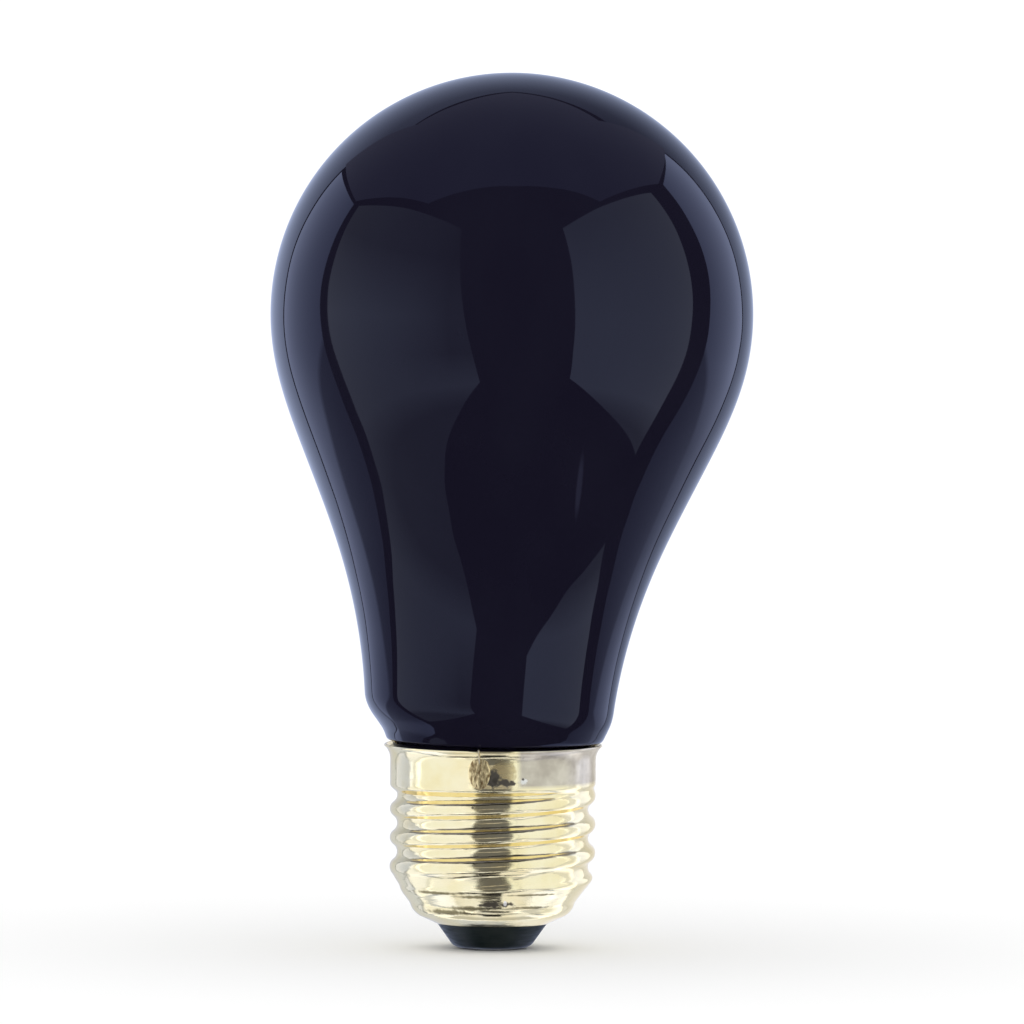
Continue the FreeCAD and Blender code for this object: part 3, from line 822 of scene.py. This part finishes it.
def pale_patch(nodes, place):
    """1 on the patch of pale brass at the right of the collar's front, and 0 outside it."""
    axes = nodes.axes(place)
    aside = nodes.span(axes["X"], *(edge * MM for edge in PALE_ACROSS), smooth=True)
    foot = (CAP_HEIGHT - COLLAR_HEIGHT) * MM
    collar = nodes.span(axes["Z"], foot, foot + PALE_FOOT * MM)
    front = nodes.span(axes["Y"], *(edge * MM for edge in PALE_FRONT), smooth=True)
    return nodes.math("MULTIPLY", nodes.math("MULTIPLY", aside, collar), front)


def brass_material():
    """Bright rolled brass with the marks of its making: gilt and scorched at the solder, pale beside it.
    Painted highlights, painted shade and painted dark reflections lie on the collar and the dome.
    """
    material, nodes, shader, place = new_material("cap_brass")
    tarnish = nodes.noise(place, TARNISH, detail=6)
    rolled = nodes.noise(place, ROLLING, ROLLING_STRETCH, detail=4)
    dents = nodes.noise(place, DENTS)
    colour = nodes.mix(nodes.span(tarnish, *TARNISHED), *BRASS)
    roughness = nodes.span(rolled, *MOST, *BRASS_ROUGHNESS)
    pale = nodes.mix(nodes.span(tarnish, *PALED), *PALE_BRASS)
    layers = [(pale_patch(nodes, place), pale, PALE_DULLNESS)]
    # Stains, and painted highlights, shade and dark reflections, laid over the brass's colour.
    for stain_or_light in CAP_STAINS_AND_PAINTED_LIGHT:
        masks = [mark(nodes, place, oval, stain_or_light.edge, stain_or_light.wobble) for oval in stain_or_light.ovals]
        layers += [(mask, stain_or_light.colour, stain_or_light.dullness) for mask in masks]
    for mask, tint, dullness in layers:
        colour = nodes.mix(mask, colour, tint)
        roughness = nodes.math("ADD", roughness, nodes.math("MULTIPLY", mask, dullness))
    relief = nodes.math("ADD", dents, nodes.math("MULTIPLY", rolled, ROLLING_SHARE))
    plug(nodes, shader, Base_Color=colour, Metallic=1.0, Roughness=roughness)
    plug(nodes, shader, Specular_Tint=BRASS_GLINT, Normal=nodes.bump(relief, *BRASS_RELIEF))
    return material


def insulator_material():
    """Black cast glass, dull from its mould and faintly scratched."""
    material, nodes, shader, place = new_material("black_glass")
    clouds = nodes.noise(place, CAST_CLOUDS, detail=6)
    scratches = nodes.noise(place, SCRATCHES, SCRATCH_STRETCH, detail=4)
    body = nodes.mix(nodes.span(clouds, *CLOUDED), *BLACK_GLASS)
    plug(nodes, shader, Base_Color=body, IOR=CAST_GLASS_IOR)
    plug(nodes, shader, Roughness=nodes.span(scratches, *MOST, *CAST_GLASS_ROUGHNESS))
    plug(nodes, shader, Normal=nodes.bump(scratches, *CAST_GLASS_RELIEF))
    return material


def metal_material(name, colours, stretch=(1, 1, 1)):
    """Solder or wire, its colour and relief drawn out along one direction."""
    material, nodes, shader, place = new_material(name)
    grain = nodes.noise(place, METAL_GRAIN, stretch, detail=5)
    plug(nodes, shader, Base_Color=nodes.mix(nodes.span(grain, *GRAINED), *colours))
    plug(nodes, shader, Metallic=1.0, Roughness=METAL_ROUGHNESS, Normal=nodes.bump(grain, *METAL_RELIEF))
    return material


def cement_material():
    material, nodes, shader, place = new_material("cement")
    grit = nodes.noise(place, CEMENT_GRIT, detail=8)
    plug(nodes, shader, Base_Color=nodes.mix(grit, *CEMENT), Roughness=CEMENT_ROUGHNESS)
    plug(nodes, shader, Normal=nodes.bump(grit, *CEMENT_RELIEF))
    return material


def dress(cad, material, *names):
    for name in names:
        slots = cad[name].data.materials
        slots.clear()
        slots.append(material)


def own(piece, node, material):
    """Puts a piece of this script in a CAD node's place."""
    piece.data.materials.append(material)
    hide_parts(node)
    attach(piece, "root")
    return piece


def main():
    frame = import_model()
    cad = frame["nodes"]
    bpy.context.scene.view_settings.view_transform = "Standard"
    add_camera()
    build_world()
    add_floor()
    build_tent()
    brass = brass_material()
    own(make_bulb(), "glass_bulb", glass_material())
    cap = own(make_cap(), "screw_shell", brass)
    add_cards([cap, cad["side_solder"], cad["side_lead_wire"]])
    dress(cad, brass, "contact_eyelet")
    dress(cad, insulator_material(), "base_insulator")
    dress(cad, cement_material(), "basing_cement")
    dress(cad, metal_material("tin_solder", TIN_SOLDER), "contact_solder")
    dress(cad, metal_material("browned_solder", BROWNED_SOLDER, SOLDER_STRETCH), "side_solder")
    dress(cad, metal_material("lead_wire", LEAD_WIRE), "centre_lead_wire", "side_lead_wire")


main()
